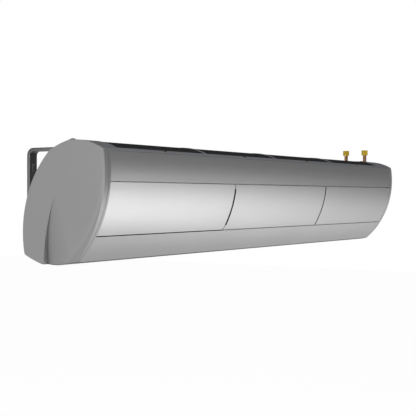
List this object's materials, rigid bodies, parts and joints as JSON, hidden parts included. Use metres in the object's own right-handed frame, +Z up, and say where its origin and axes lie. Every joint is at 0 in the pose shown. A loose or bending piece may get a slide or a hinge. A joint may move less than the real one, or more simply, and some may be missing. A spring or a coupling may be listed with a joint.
{
  "type": "wall-mounted air curtain",
  "caption": "Long curved wall-mounted air curtain with top intake grilles, water coil, crossflow rotor, tilting outlet vanes and wall brackets.",
  "frame": {"origin": "on the wall, midway between the two slots of the left wall bracket", "axes": "+X along the length to the right as seen from the room, +Y into the wall, +Z up"},
  "size_m": [2.005, 0.311, 0.397],
  "materials": {
    "silver_paint": "satin silver paint on aluminium sheet",
    "dark_silver_paint": "satin silver-grey paint",
    "cap_plastic": "fine-grained moulded plastic",
    "grille_black": "satin black",
    "black_rubber": "matte",
    "galvanised": "galvanised sheet",
    "bracket_paint": "powder coat, dark grey",
    "zinc": "zinc plated",
    "fin_aluminium": "bare fin stock",
    "copper": "drawn copper, slightly dull",
    "union_brass": "machined brass",
    "vane_aluminium": "anodised",
    "motor_paint": "dark enamel",
    "impeller_grey": "dark coated aluminium",
    "shaft_steel": "ground",
    "pale_plastic": "moulded",
    "dark_plastic": "moulded"
  },
  "bodies": {
    "casing": {"upper_front_panel": "silver_paint", "front_panel_left": "silver_paint", "front_panel_middle": "silver_paint", "front_panel_right": "silver_paint", "lower_front_panel": "silver_paint", "top_cover": "dark_silver_paint", "rear_cover": "dark_silver_paint", "bottom_cover": "dark_silver_paint", "front_chassis": "galvanised", "end_cap_left": "cap_plastic", "end_cap_right": "cap_plastic", "end_cap_clips": "dark_plastic", "end_cap_screws": "zinc", "bulkhead_left": "galvanised", "bulkhead_right": "galvanised", "center_bulkheads": "galvanised", "intake_grille_1": "grille_black", "intake_grille_2": "grille_black", "intake_grille_3": "grille_black", "intake_grille_4": "grille_black", "grille_screws": "dark_plastic", "wall_bracket_left": "bracket_paint", "wall_bracket_right": "bracket_paint", "bracket_bolts": "zinc", "coil_fins": "fin_aluminium", "coil_tubes": "copper", "coil_end_plates": "galvanised", "coil_rails": "galvanised", "supply_header": "copper", "return_header": "copper", "supply_union": "union_brass", "return_union": "union_brass", "pipe_grommets": "black_rubber", "bleed_valve": "union_brass", "scroll_left": "galvanised", "scroll_right": "galvanised", "tongue_left": "galvanised", "tongue_right": "galvanised", "nozzle_left": "dark_silver_paint", "nozzle_right": "dark_silver_paint", "motor": "motor_paint", "motor_rings": "black_rubber", "run_capacitor": "pale_plastic", "bearings": "zinc", "electrics_box": "dark_plastic", "electrics_lid": "dark_plastic", "terminal_block": "pale_plastic", "cable_gland": "dark_plastic"},
    "rotor": {"motor_shaft": "shaft_steel", "couplings": "black_rubber", "impeller_left": "impeller_grey", "impeller_right": "impeller_grey"},
    "vane_lf": {"vane_left_front": "vane_aluminium"},
    "vane_lr": {"vane_left_rear": "vane_aluminium"},
    "link_l": {"vane_link_left": "dark_plastic"},
    "vane_rf": {"vane_right_front": "vane_aluminium"},
    "vane_rr": {"vane_right_rear": "vane_aluminium"},
    "link_r": {"vane_link_right": "dark_plastic"}
  },
  "joints": [
    {"name": "rotor_spin", "type": "hinge", "parent": "casing", "child": "rotor", "pos_m": [0.9575, -0.14, -0.07], "axis": [1, 0, 0], "continuous": true},
    {"name": "vane_left_front_tilt", "type": "hinge", "parent": "casing", "child": "vane_lf", "pos_m": [0.43725, -0.126, -0.177], "axis": [1, 0, 0], "range_deg": [-20, 20]},
    {"name": "vane_left_rear_tilt", "type": "hinge", "parent": "casing", "child": "vane_lr", "pos_m": [0.43725, -0.086, -0.177], "axis": [1, 0, 0], "range_deg": [-20, 20]},
    {"name": "link_left_swing", "type": "hinge", "parent": "vane_lf", "child": "link_l", "pos_m": [0.027, -0.126, -0.163], "axis": [1, 0, 0], "range_deg": [-20, 20]},
    {"name": "vane_right_front_tilt", "type": "hinge", "parent": "casing", "child": "vane_rf", "pos_m": [1.47775, -0.126, -0.177], "axis": [1, 0, 0], "range_deg": [-20, 20]},
    {"name": "vane_right_rear_tilt", "type": "hinge", "parent": "casing", "child": "vane_rr", "pos_m": [1.47775, -0.086, -0.177], "axis": [1, 0, 0], "range_deg": [-20, 20]},
    {"name": "link_right_swing", "type": "hinge", "parent": "vane_rf", "child": "link_r", "pos_m": [1.888, -0.126, -0.163], "axis": [1, 0, 0], "range_deg": [-20, 20]}
  ],
  "couplings": [
    {"joint": "vane_left_rear_tilt", "follows": "vane_left_front_tilt", "ratio": 1},
    {"joint": "link_left_swing", "follows": "vane_left_front_tilt", "ratio": -1},
    {"joint": "vane_right_rear_tilt", "follows": "vane_right_front_tilt", "ratio": 1},
    {"joint": "link_right_swing", "follows": "vane_right_front_tilt", "ratio": -1}
  ]
}
